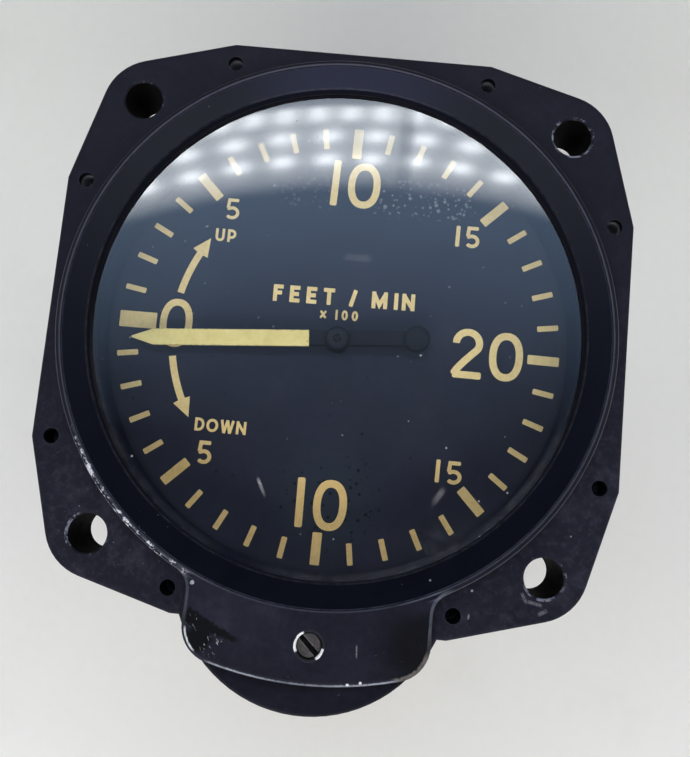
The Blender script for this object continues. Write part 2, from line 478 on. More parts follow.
def dial_black():
    s = Shade("dial_blue_black")
    big = s.noise(0.11, 5, 0.62, offset=(2, 0, 0))
    mid = s.noise(0.8, 4, 0.65)
    fine = s.noise(7.0, 2, 0.5)
    tone = s.add(s.mul(big, 0.6), s.mul(mid, 0.4))
    base = s.ramp(tone, (0.30, (0.0190, 0.0222, 0.0375)), (0.50, (0.0225, 0.0262, 0.0455)),
                  (0.72, (0.0280, 0.0325, 0.0560)))
    light = s.mul(s.specks(0.8, 0.20, 0.12), 0.30)
    strip = s.mul(s.step(s.y, 19.4, 21.4), s.step(s.y, 27.0, 24.6))
    strip = s.mul(strip, s.top(s.mul(s.step(s.x, 2.6, 4.6), s.step(s.x, 20.5, 17.0)), s.mul(s.step(s.x, -15.0, -9.0), s.step(s.x, -2.0, -3.2), 0.30)))
    upper = s.mul(s.top(s.specks(1.15, 0.46, 0.75), s.mul(s.specks(1.5, 0.46, 0.45, vec=s.vec(s.y, s.x, s.z)), 0.85)), strip, 0.42)
    dark = s.mul(s.specks(1.1, 0.46, 0.62), s.top(s.step(s.dist(-4.5, -23.5), 4.5, 2.5), s.step(s.dist(3.0, -23.8), 8.0, 4.5)), 0.78)
    dark = s.top(dark, s.mul(s.specks(0.8, 0.33, 0.10), s.step(s.y, 2.0, -8.0), 0.8))
    teal = s.mul(s.step(s.add(s.dist(0.5, -24.0), s.mul(mid, 4.0)), 12.0, 5.0), 0.30)
    base = s.mix(teal, base, (0.028, 0.046, 0.062))
    color = s.mix(clamp01(s, s.top(light, upper)), base, (0.42, 0.44, 0.47))
    color = s.mix(s.mul(dark, 0.95), color, (0.0010, 0.0010, 0.0020))
    edge = s.mul(s.step(s.dist(0, 0), 33.8, 35.2), 0.55)
    color = s.mix(edge, color, (0.006, 0.007, 0.012))
    normal = s.bump(s.add(s.mul(fine, 0.35), s.mul(mid, 0.65)), 0.010, 0.4)
    return s.done(s.bsdf(color, s.add(0.60, s.mul(mid, 0.15)), 0.0, normal, spec=0.08))


def mark_cream():
    s = Shade("aged_cream_marks")
    big = s.noise(0.09, 4, 0.6, offset=(4, 4, 0))
    mid = s.noise(1.6, 4, 0.65)
    fine = s.noise(9.0, 2, 0.5)
    tone = s.add(s.mul(big, 0.4), s.mul(mid, 0.6))
    pale = s.ramp(tone, (0.30, (0.75, 0.57, 0.240)), (0.50, (0.87, 0.68, 0.315)), (0.70, (0.93, 0.77, 0.39)))
    warm = s.ramp(tone, (0.30, (0.81, 0.515, 0.175)), (0.50, (0.90, 0.605, 0.235)), (0.70, (0.95, 0.685, 0.305)))
    base = s.mix(s.step(s.y, -6.0, -26.0, 0.0, 0.85), pale, warm)
    spots = s.top(s.mul(s.specks(2.3, 0.15, 0.10), 0.7), s.mul(s.step(s.noise(2.2, 5, 0.75, offset=(9, 0, 3)), 0.64, 0.72), 0.5))
    color = s.mix(spots, base, (0.17, 0.125, 0.07))
    normal = s.bump(s.add(s.mul(fine, 0.5), s.mul(mid, 0.5)), 0.02, 0.7)
    return s.done(s.bsdf(color, s.add(0.55, s.mul(mid, 0.2)), 0.0, normal, spec=0.3))


def pointer_paint():
    s = Shade("pointer_cream_and_black")
    a = math.radians(HAND_REST)
    along = s.mul(s.add(s.mul(s.x, math.cos(a)), s.mul(s.y, math.sin(a))), -1.0)
    across = s.sub(s.mul(s.y, math.cos(a)), s.mul(s.x, math.sin(a)))
    wob = s.mul(s.sub(s.noise(1.5, 3, 0.6), 0.5), 0.18)
    tail_r = s.m("POWER", s.add(s.mul(s.add(along, 11.95), s.add(along, 11.95)), s.mul(across, across)), 0.5)
    outline = s.top(s.mul(s.step(tail_r, 1.58, 1.76), s.step(tail_r, 2.3, 2.1)), s.mul(s.step(s.dist(0, 0), 2.0, 1.9), s.step(s.dist(0, 0), 1.7, 1.74)),
                    s.mul(s.step(across, -0.86, -1.02), s.step(tail_r, 1.7, 1.9), s.step(s.dist(0, 0), 1.7, 1.8)))
    cream = s.step(s.add(along, wob), HAND_PAINT - 0.06, HAND_PAINT + 0.06)
    mid = s.noise(0.5, 4, 0.65)
    fine = s.noise(8.0, 2, 0.5)
    paint = s.ramp(s.add(s.mul(mid, 0.7), s.mul(fine, 0.3)), (0.30, (0.73, 0.610, 0.235)), (0.5, (0.825, 0.70, 0.290)),
                   (0.70, (0.90, 0.78, 0.355)))
    flecks = s.top(s.mul(s.specks(1.5, 0.13, 0.12), 0.8), s.mul(s.specks(3.2, 0.14, 0.10), 0.6),
                   s.mul(s.specks(0.75, 0.24, 0.45, vec=s.vec(s.y, s.x, s.z)), 0.9))
    edgedirt = s.mul(s.step(s.m("ABSOLUTE", across), 1.02, 1.22), s.step(s.noise(1.4, 4, 0.7), 0.45, 0.62), 0.45)
    paint = s.mix(s.top(flecks, edgedirt), paint, (0.17, 0.125, 0.06))
    black = s.ramp(mid, (0.35, (0.0068, 0.0070, 0.0120)), (0.7, (0.0095, 0.0097, 0.0155)))
    black = s.mix(s.mul(s.specks(1.1, 0.16, 0.08), 0.12), black, (0.3, 0.3, 0.32))
    face = s.step(s.up(), 0.1, 0.5)
    black = s.mix(outline, black, (0.0006, 0.0006, 0.0010))
    color = s.mix(cream, black, paint)
    color = s.mix(s.mul(s.sub(1.0, face), cream, 0.45), color, (0.12, 0.09, 0.05))
    color = s.mix(s.mul(s.sub(1.0, face), s.sub(1.0, cream), 0.9), color, (0.0008, 0.0008, 0.0010))
    rough = s.add(0.46, s.mul(mid, 0.2))
    normal = s.bump(s.add(s.mul(fine, 0.4), s.mul(mid, 0.6)), 0.03, 0.6)
    return s.done(s.bsdf(color, rough, 0.0, normal, spec=0.10))


def black_paint(name, base0, base1, rough=0.5, grain=1.0, wear=0.5, spec=0.25, sides=0.0):
    """painted small part: tone variation, specks and rubbed edges"""
    s = Shade(name)
    big = s.noise(0.35 * grain, 4, 0.62)
    fine = s.noise(6.5 * grain, 3, 0.55)
    base = s.ramp(big, (0.32, base0), (0.68, base1))
    if sides:
        base = s.mix(s.mul(s.step(s.up(), 0.9, 0.6), sides), base, (0.0006, 0.0006, 0.0008))
        base = s.mix(s.mul(s.step(s.dist(0, 0), 1.40, 1.54), s.step(s.dist(0, 0), 1.95, 1.85), 0.95), base, (0.0008, 0.0008, 0.0014))
    edge = s.mul(s.edge(0.07, 0.03, 0.22), s.step(s.noise(1.3, 4, 0.7, offset=(3, 1, 2)), 0.46, 0.62), wear)
    spots = s.mul(s.specks(1.4, 0.13, 0.10), wear, 0.6)
    bare = clamp01(s, s.top(edge, spots))
    color = s.mix(bare, base, (0.30, 0.30, 0.33))
    normal = s.bump(fine, 0.02, 0.6)
    return s.done(s.bsdf(color, s.add(rough, s.mul(fine, 0.14)), s.mul(bare, 0.5), normal, spec=spec))


def turned_metal(name, dark, light, axis="z", centre=(0.0, 0.0, 0.0), rough=0.3, tarnish=(0.1, 0.07, 0.04), amount=0.35, rings=7.0,
                 black_above=None, spec=0.5):
    """lathe-turned metal: fine rings about an axis, tarnish in patches, brighter rubbed edges"""
    s = Shade(name)
    q = s.vm("SUBTRACT", s.p, centre)
    sp = s.t.nodes.new("ShaderNodeSeparateXYZ")
    s.t.links.new(q, sp.inputs[0])
    qx, qy, qz = sp.outputs
    if axis == "x":
        a, b, c = qy, qz, qx
    else:
        a, b, c = qx, qy, qz
    rr = s.m("POWER", s.add(s.mul(a, a), s.mul(b, b)), 0.5)
    th = s.m("ARCTAN2", b, a)
    ring = s.noise(1.0, 3, 0.6, vec=s.vec(s.mul(rr, rings), s.mul(c, rings), s.mul(th, 0.6)))
    patch = s.noise(0.55, 5, 0.65)
    fine = s.noise(9.0, 2, 0.5)
    tone = s.add(s.mul(ring, 0.5), s.mul(patch, 0.5))
    base = s.ramp(tone, (0.32, dark), (0.68, light))
    tar = s.mul(s.step(patch, 0.50, 0.72), amount)
    base = s.mix(tar, base, tarnish)
    edge = s.mul(s.edge(0.06, 0.03, 0.25), s.step(fine, 0.35, 0.6))
    base = s.mix(s.mul(edge, 0.55), base, tuple(min(1.0, 1.25 * v + 0.05) for v in light))
    r = s.add(rough, s.add(s.mul(tar, 0.45), s.mul(s.sub(ring, 0.5), 0.16)))
    metal = 1.0
    if black_above is not None:
        paint = s.step(s.z, black_above - 0.1, black_above)
        base = s.mix(paint, base, s.ramp(patch, (0.35, (0.008, 0.008, 0.010)), (0.65, (0.017, 0.017, 0.020))))
        r = s.add(r, s.mul(paint, 0.15))
        metal = s.sub(1.0, s.mul(paint, 0.95))
    normal = s.bump(s.add(s.mul(ring, 0.7), s.mul(fine, 0.3)), 0.012, 0.6)
    return s.done(s.bsdf(base, clamp01(s, r), metal, normal, spec=spec))


def brushed_plate(name, dark, light, rough=0.33, tarnish=(0.12, 0.08, 0.04), amount=0.3):
    """rolled and grained plate: straight grain along X"""
    s = Shade(name)
    grain = s.noise(1.0, 4, 0.65, vec=s.vm("MULTIPLY", s.p, (0.35, 12.0, 12.0)))
    patch = s.noise(0.16, 5, 0.65)
    spots = s.specks(0.7, 0.15, 0.16)
    base = s.ramp(s.add(s.mul(grain, 0.5), s.mul(patch, 0.5)), (0.33, dark), (0.67, light))
    tar = clamp01(s, s.add(s.mul(s.step(patch, 0.5, 0.7), amount), s.mul(spots, 0.4)))
    base = s.mix(tar, base, tarnish)
    edge = s.mul(s.edge(0.08, 0.03, 0.25), 0.5)
    base = s.mix(edge, base, tuple(min(1.0, 1.2 * v + 0.05) for v in light))
    normal = s.bump(grain, 0.008, 0.6)
    return s.done(s.bsdf(base, s.add(rough, s.mul(tar, 0.35)), 1.0, normal))


def rubber(name, base0, base1):
    s = Shade(name)
    big = s.noise(0.4, 4, 0.6)
    fine = s.noise(10.0, 3, 0.6)
    bloom = s.mul(s.step(s.noise(0.7, 5, 0.7, offset=(3, 3, 3)), 0.52, 0.75), 0.35)
    base = s.mix(bloom, s.ramp(big, (0.3, base0), (0.7, base1)), (0.12, 0.115, 0.105))
    normal = s.bump(s.add(s.mul(fine, 0.7), s.mul(s.specks(3.0, 0.2, 0.2), -0.6)), 0.03, 0.7)
    return s.done(s.bsdf(base, s.add(0.68, s.mul(fine, 0.16)), 0.0, normal, spec=0.3))


ZS = (0.55, -42.9)             # zero screw
SLOT = -43.0


def worn_nickel(name):
    s = Shade(name)
    patch = s.noise(0.9, 5, 0.68)
    fine = s.noise(7.0, 3, 0.6)
    rr = s.dist(*ZS)
    ring = s.noise(1.0, 2, 0.5, vec=s.vec(s.mul(rr, 9.0), 0.0, s.mul(s.z, 6.0)))
    base = s.ramp(s.add(s.mul(patch, 0.6), s.mul(ring, 0.4)), (0.34, (0.050, 0.043, 0.045)), (0.52, (0.085, 0.076, 0.078)),
                  (0.70, (0.155, 0.142, 0.140)))
    grime = s.mul(s.step(s.noise(1.7, 4, 0.7, offset=(1, 0, 6)), 0.52, 0.70), 0.6)
    u, v = along_across(s, ZS[0], ZS[1], SLOT)
    deep = s.top(s.step(s.z, 1.75, 1.2), s.mul(s.step(s.m("ABSOLUTE", v), 0.42, 0.36), s.step(s.z, 1.98, 1.9)))
    rim = s.step(rr, 1.50, 1.64)
    base = s.mix(s.top(grime, s.mul(deep, 0.97), s.mul(rim, 0.7)), base, (0.006, 0.006, 0.006))
    edge = s.mul(s.step(s.m("ABSOLUTE", v), 0.52, 0.38), s.step(s.z, 1.9, 2.0), s.step(patch, 0.42, 0.58), s.sub(1.0, deep), 0.5)
    base = s.mix(edge, base, (0.30, 0.28, 0.27))
    rough = s.add(0.42, s.add(s.mul(grime, 0.25), s.mul(deep, 0.25)))
    normal = s.bump(s.add(s.mul(ring, 0.6), s.mul(fine, 0.4)), 0.015, 0.7)
    metal = s.m("SUBTRACT", 0.55, s.mul(s.top(grime, deep), 0.5), clamp=True)
    return s.done(s.bsdf(base, rough, metal, normal, spec=0.3))


def worn_bush(name):
    s = Shade(name)
    patch = s.noise(0.7, 5, 0.68, offset=(0.6, 0, 0))
    fine = s.noise(6.0, 3, 0.6)
    rr = s.dist(*ZS)
    wob = s.mul(s.sub(s.noise(1.6, 3, 0.6), 0.5), 0.22)
    left = polar_mask(s, ZS[0], ZS[1], 162.0, 0.66, 0.76)
    right = polar_mask(s, ZS[0], ZS[1], -31.0, 0.88, 0.93)
    rub = s.top(left, right)
    base = s.ramp(patch, (0.36, (0.006, 0.0066, 0.012)), (0.62, (0.013, 0.0142, 0.025)))
    base = s.mix(s.step(rr, 1.90, 1.80), base, (0.002, 0.002, 0.003))
    bright = s.mul(rub, s.step(s.z, 1.9, 2.15), s.step(s.add(rr, wob), 2.07, 1.99))
    base = s.mix(bright, base, s.ramp(fine, (0.35, (0.80, 0.81, 0.84)), (0.65, (0.95, 0.96, 0.98))))
    edge = s.mul(s.edge(0.07, 0.03, 0.2), s.step(patch, 0.50, 0.64), 0.18)
    base = s.mix(edge, base, (0.4, 0.4, 0.42))
    normal = s.bump(fine, 0.012, 0.6)
    metal = s.m("ADD", 0.05, s.mul(bright, 0.10), clamp=True)
    return s.done(s.bsdf(base, s.add(0.38, s.mul(fine, 0.15)), metal, normal, spec=0.3))


def floor_mat():
    s = Shade("pale_floor")
    wide = s.noise(0.004, 4, 0.55)
    fine = s.noise(0.35, 4, 0.6)
    tone = s.add(s.mul(wide, 0.6), s.mul(fine, 0.4))
    far = s.ramp(tone, (0.30, (0.660, 0.652, 0.622)), (0.70, (0.700, 0.692, 0.662)))
    near = s.ramp(tone, (0.30, (0.855, 0.850, 0.830)), (0.70, (0.893, 0.888, 0.868)))
    blot = s.step(s.noise(0.018, 5, 0.6, offset=(40, 10, 0)), 0.52, 0.70)
    color = s.mix(s.line(s.y, 95.0, -115.0), far, near)
    color = s.mix(s.mul(blot, 0.10), color, (0.50, 0.485, 0.46))
    normal = s.bump(fine, 0.05, 0.25)
    return s.done(s.bsdf(color, s.add(0.68, s.mul(fine, 0.1)), 0.0, normal, spec=0.2))


BRASS = ((0.42, 0.27, 0.085), (0.78, 0.58, 0.27))
STEEL = ((0.24, 0.245, 0.26), (0.60, 0.61, 0.63))
BRONZE = ((0.40, 0.22, 0.10), (0.70, 0.46, 0.24))
SECT = (-19.3649, 5.0, 0.0)

case_mat = case_enamel()
M = {
    "case": case_mat,
    "rear_cover": case_mat,
    "retaining_ring": ring_enamel(),
    "cover_glass": glass(),
    "dial_plate": dial_black(),
    "pointer": pointer_paint(),
    "pointer_hub": black_paint("hub_satin_black", (0.0110, 0.0115, 0.0180), (0.0180, 0.0188, 0.0270), 0.50, 1.6, 0.12, 0.10, 0.95),
    "pointer_counterweight": black_paint("counterweight_black", (0.0052, 0.0050, 0.0100), (0.0095, 0.0092, 0.0165), 0.5, 1.4, 0.12, 0.10, 0.95),
    "dial_spacer_ring": black_paint("spacer_matte_black", (0.0034, 0.0068, 0.0200), (0.0068, 0.0125, 0.0350), 0.88, 0.7, 0.08, 0.03),
    "zero_screw": worn_nickel("zero_screw_nickel"),
    "zero_screw_bush": worn_bush("bush_worn_nickel"),
}
for n in ("glass_gasket", "zero_screw_packing", "rear_gasket"):
    M[n] = rubber(n + "_rubber", (0.012, 0.012, 0.012), (0.028, 0.027, 0.026))
M["static_tube"] = rubber("static_tube_rubber", (0.055, 0.028, 0.018), (0.10, 0.05, 0.032))
M["hairspring"] = turned_metal("blued_spring_steel", (0.03, 0.05, 0.16), (0.10, 0.16, 0.38), rough=0.22,
                               tarnish=(0.10, 0.06, 0.12), amount=0.3)
screw_steel = turned_metal("fastener_steel", (0.16, 0.16, 0.165), (0.46, 0.46, 0.47), rough=0.34,
                           tarnish=(0.07, 0.05, 0.035), amount=0.5, rings=5.0)
for n in ("dial_screws", "front_plate_screws", "pillar_screws", "capsule_post_nuts", "rear_cover_screws"):
    M[n] = screw_steel
bright_steel = turned_metal("staff_steel", *STEEL, rough=0.24, tarnish=(0.14, 0.10, 0.07), amount=0.25, rings=9.0)
M["bearing_bushes"] = turned_metal("bearing_bush_brass", *BRASS, rough=0.28, tarnish=(0.16, 0.09, 0.035), amount=0.45, black_above=-14.2)
M["pointer_staff"] = turned_metal("pointer_staff_steel", *STEEL, rough=0.24, tarnish=(0.14, 0.10, 0.07), amount=0.25, rings=9.0,
                                  black_above=-8.6, spec=0.08)
for n in ("staff_pinion", "zero_shaft", "sector_finger", "rocking_finger", "capsule_link"):
    M[n] = bright_steel
M["rocking_shaft"] = turned_metal("rocking_shaft_steel", *STEEL, axis="x", centre=(0, 5, -36), rough=0.24,
                                  tarnish=(0.14, 0.10, 0.07), amount=0.25, rings=9.0)
M["sector_arbor"] = turned_metal("sector_arbor_steel", *STEEL, centre=SECT, rough=0.24, amount=0.25, rings=9.0)
small_brass = turned_metal("small_turned_brass", *BRASS, rough=0.28, tarnish=(0.16, 0.09, 0.035), amount=0.45)
for n in ("dial_feet", "hairspring_collet", "hairspring_stud", "bridge_pillars", "base_pillars",
          "crank_arm", "rocking_shaft_brackets", "capsule_boss", "capsule_stem", "capsule_nut", "capsule_posts",
          "restrictor", "zero_screw_collar", "zero_pinion", "zero_cam"):
    M[n] = small_brass
M["balance_weight"] = turned_metal("balance_weight_brass", *BRASS, rough=0.3, tarnish=(0.16, 0.09, 0.035), amount=0.5, rings=5.0)
M["static_port"] = turned_metal("static_port_brass", *BRASS, rough=0.32, tarnish=(0.13, 0.085, 0.045), amount=0.6, rings=4.0)
M["sector_gear"] = turned_metal("sector_gear_brass", *BRASS, centre=SECT, rough=0.26, tarnish=(0.16, 0.09, 0.035), amount=0.35)
M["zero_gear"] = turned_metal("zero_gear_brass", *BRASS, centre=(0, -27.91, 0), rough=0.26, tarnish=(0.16, 0.09, 0.035), amount=0.35)
for n in ("front_plate", "bridge_plate", "base_plate", "capsule_bracket"):
    M[n] = brushed_plate("grained_brass_" + n, (0.46, 0.31, 0.11), (0.76, 0.58, 0.29))
for n in ("capsule_front", "capsule_rear"):
    M[n] = turned_metal("sheet_bronze_" + n, *BRONZE, rough=0.26, tarnish=(0.20, 0.10, 0.05), amount=0.4, rings=3.0)

for name, obj in NODES.items():
    obj.data.materials.clear()
    obj.data.materials.append(M[name])


# ------------------------------------------------------------------ dial marks
def rot2(p, deg):
    a = math.radians(deg)
    return (p[0] * math.cos(a) - p[1] * math.sin(a), p[0] * math.sin(a) + p[1] * math.cos(a))


def arc_pts(cx, cy, rx, ry, a0, a1, n):
    return [(cx + rx * math.cos(math.radians(a0 + (a1 - a0) * k / n)),
             cy + ry * math.sin(math.radians(a0 + (a1 - a0) * k / n))) for k in range(n + 1)]


def ribbon(path, w, rc):
    """stroke of width w along the path, its end corners rounded by rc: vertices and faces"""
    h = w / 2.0
    path = [path[0]] + [p for p in path[1:-1] if min(math.dist(p, path[0]), math.dist(p, path[-1])) > 1.05 * rc] + [path[-1]]
    n = len(path)
    dirs = []
    for i in range(n - 1):
        d = Vector((path[i + 1][0] - path[i][0], path[i + 1][1] - path[i][1]))
        dirs.append(d.normalized())
    left, right = [], []
    for i, p in enumerate(path):
        a = dirs[max(i - 1, 0)]
        b = dirs[min(i, n - 2)]
        na, nb = Vector((-a.y, a.x)), Vector((-b.y, b.x))
        m = (na + nb)
        m.normalize()
        k = h / max(0.45, m.dot(na))
        q = Vector(p)
        left.append(q + m * k)
        right.append(q - m * k)

    def cap(p, d):
        """corner points at an end, going from left side to right side; d points outwards"""
        nrm = Vector((-d.y, d.x))
        out = []
        for side, seq in ((1, range(0, 5)), (-1, range(4, -1, -1))):
            c = p + nrm * side * (h - rc) - d * rc
            for j in seq:
                a = math.radians(90.0 * j / 4.0)
                out.append(c + nrm * side * rc * math.cos(a) + d * rc * math.sin(a))
        return out

    verts = [p for pair in zip(left, right) for p in pair]
    faces = [[2 * i, 2 * i + 2, 2 * i + 3, 2 * i + 1] for i in range(n - 1)]
    # the two end cross-sections move inwards by the corner radius, the caps fill the rest
    for end, d, base in ((n - 1, dirs[-1], 2 * (n - 1)), (0, -dirs[0], 0)):
        verts[base] = verts[base] - d * rc
        verts[base + 1] = verts[base + 1] - d * rc
        pts = cap(Vector(path[end]), d)
        first = len(verts)
        verts += pts[1:-1]
        ring = [base] + list(range(first, first + len(pts) - 2)) + [base + 1] if end else \
            [base + 1] + list(range(first, first + len(pts) - 2)) + [base]
        faces.append(ring)
    return [(p.x, p.y) for p in verts], faces


def ring_zero(cx, cy, hw, hh, w, n=56, power=2.25):
    """a nought: slightly squared oval ring, as quads between two outlines"""
    def oval(a, b):
        out = []
        for k in range(n):
            t = 2 * math.pi * k / n
            c, s = math.cos(t), math.sin(t)
            out.append((cx + a * math.copysign(abs(c) ** (2 / power), c), cy + b * math.copysign(abs(s) ** (2 / power), s)))
        return out
    o, i = oval(hw, hh), oval(hw - w, hh - w)
    return [(o + i, [[k, (k + 1) % n, n + (k + 1) % n, n + k] for k in range(n)])]


def mark_mesh(name, shapes, z=DIAL_TOP, t=MARK_T, body="housing"):
    """closed thin solids, one for each (vertices, faces) shape; shapes that cross differ a little in height"""
    bm = bmesh.new()
    for k, (pts, faces) in enumerate(shapes):
        top = (z + t + 0.004 * (k % 5)) * MM
        vs = [bm.verts.new((x * MM, y * MM, top)) for x, y in pts]
        fs = [bm.faces.new([vs[i] for i in f]) for f in faces]
        for f in fs:
            f.normal_update()
            if f.normal.z < 0:
                f.normal_flip()
        geo = bmesh.ops.extrude_face_region(bm, geom=fs, use_keep_orig=True)
        low = [g for g in geo["geom"] if isinstance(g, bmesh.types.BMVert)]
        bmesh.ops.translate(bm, verts=low, vec=(0, 0, -(t + 0.01) * MM))
    bmesh.ops.triangulate(bm, faces=[f for f in bm.faces if len(f.verts) > 4])
    bmesh.ops.recalc_face_normals(bm, faces=bm.faces)
    me = bpy.data.meshes.new(name)
    bm.to_mesh(me)
    bm.free()
    ob = bpy.data.objects.new(name, me)
    scene.collection.objects.link(ob)
    me.materials.append(CREAM)
    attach(ob, body)
    return ob


CREAM = mark_cream()
TICK0 = 180.0 - 0.35


def bar(r0, r1, ang, w, off=0.0, rc=0.17):
    a = rot2((r0, off), ang)
    b = rot2((r1, off), ang)
    return ribbon([a, b], w, rc)


minor = [bar(30.45, 33.65, TICK0 - 9 * i, 0.84) for i in range(40) if i % 5]
major = [bar(28.95, 33.72, TICK0 - 9 * i, 1.42) for i in range(5, 40, 5)]
block = [ribbon([(-33.55, 0.36), (-27.88, 0.42)], 2.5, 0.15)]
mark_mesh("dial_ticks_minor", minor)
mark_mesh("dial_ticks_major", major)
mark_mesh("dial_zero_block", block)


def digit(ch, cx, cy, hw, hh, w, rc=None):
    """a digit centred at (cx, cy), half width hw and half height hh outside, stroke w"""
    rc = w * 0.28 if rc is None else rc
    h = w / 2.0
    a, b = hw - h, hh - h
    if ch == "0":
        return ring_zero(cx, cy, hw, hh, w)
    if ch == "1":
        return [ribbon([(cx, cy + hh), (cx, cy - hh)], w, rc)]
    if ch == "2":
        top = arc_pts(cx, cy + b - a * 0.98, a, a * 0.98, 182, -28, 22)
        p = top + [(cx + a * 0.42, cy - b * 0.02), (cx - a * 0.30, cy - b * 0.42), (cx - a * 0.80, cy - b * 0.74),
                   (cx - a * 0.98, cy - b * 0.90)]
        p = smooth(p)
        foot = [(cx - a - h * 0.55, cy - b), (cx + a + h, cy - b)]
        return [ribbon(p + [(cx - a, cy - b)], w, rc * 0.5), ribbon(foot, w, rc)]
    if ch == "5":
        bowl_r = a
        ry = b * 0.56
        c = (cx - a * 0.06, cy - b + ry)
        bowl = arc_pts(c[0], c[1], bowl_r, ry, 128, -143, 30)
        stem = [(cx + a * 0.86 + h * 0.4, cy + b), (cx - a * 0.70, cy + b), (cx - a * 0.86, cy + b * 0.06)]
        return [ribbon(stem, w, rc), ribbon(smooth([(cx - a * 0.86, cy + b * 0.10)] + bowl), w, rc)]
    return []


def smooth(path, passes=2):
    for _ in range(passes):
        out = [path[0]]
        for p, q in zip(path[:-1], path[1:]):
            out.append((0.75 * p[0] + 0.25 * q[0], 0.75 * p[1] + 0.25 * q[1]))
            out.append((0.25 * p[0] + 0.75 * q[0], 0.25 * p[1] + 0.75 * q[1]))
        out.append(path[-1])
        path = out
    return path


mark_mesh("numeral_0_left", ring_zero(-24.87, 0.42, 2.50, 3.74, 1.06))
mark_mesh("numeral_10_top", [ribbon([(-2.60, 28.42), (-2.78, 21.12)], 1.08, 0.28)] + ring_zero(1.80, 24.66, 2.53, 3.62, 1.10))
mark_mesh("numeral_10_bottom", [ribbon([(-3.28, -21.10), (-3.16, -28.45)], 1.14, 0.28)] + ring_zero(1.28, -24.83, 2.52, 3.76, 1.13))
mark_mesh("numeral_20_right", digit("2", 19.80, -0.14, 2.30, 3.82, 1.08) + ring_zero(25.70, -0.14, 2.56, 3.72, 1.10))
mark_mesh("numeral_5_up", digit("5", -18.22, 19.10, 1.13, 1.66, 0.50))
mark_mesh("numeral_15_up", [ribbon([(16.96, 19.66), (16.92, 16.34)], 0.62, 0.18)] + digit("5", 19.22, 18.00, 1.16, 1.70, 0.56))
mark_mesh("numeral_15_down", [ribbon([(16.82, -16.52), (16.76, -19.92)], 0.62, 0.18)] + digit("5", 19.25, -18.30, 1.22, 1.72, 0.58))
mark_mesh("numeral_5_down", digit("5", -18.27, -18.80, 1.17, 1.74, 0.58))


def arrow(side, t0, t1, t2, name):
    """curved arrow about the dial's centre: shaft from t0 to t1, head to t2, degrees from 9 o'clock"""
    sgn = -1.0 if side > 0 else 1.0

    def pt(r, t):
        return rot2((r, 0.0), 180.0 + sgn * t)
    outer = [pt(25.25 + 0.53, t0 + (t1 - t0) * k / 14.0) for k in range(15)]
    inner = [pt(25.25 - 0.53, t0 + (t1 - t0) * k / 14.0) for k in range(15)]
    head = [pt(26.62, t1 + 0.35), pt(25.35, t2), pt(23.92, t1 + 0.15)]
    pts = outer + head + list(reversed(inner))
    n = len(outer)
    quads = [[k, k + 1, len(pts) - 2 - k, len(pts) - 1 - k] for k in range(n - 1)]
    mark_mesh(name, [(pts, quads + [[n - 1, n, n + 1, n + 2, n + 3]])])


arrow(1, 11.75, 27.2, 33.9, "arrow_up")
arrow(-1, 10.75, 26.2, 32.9, "arrow_down")


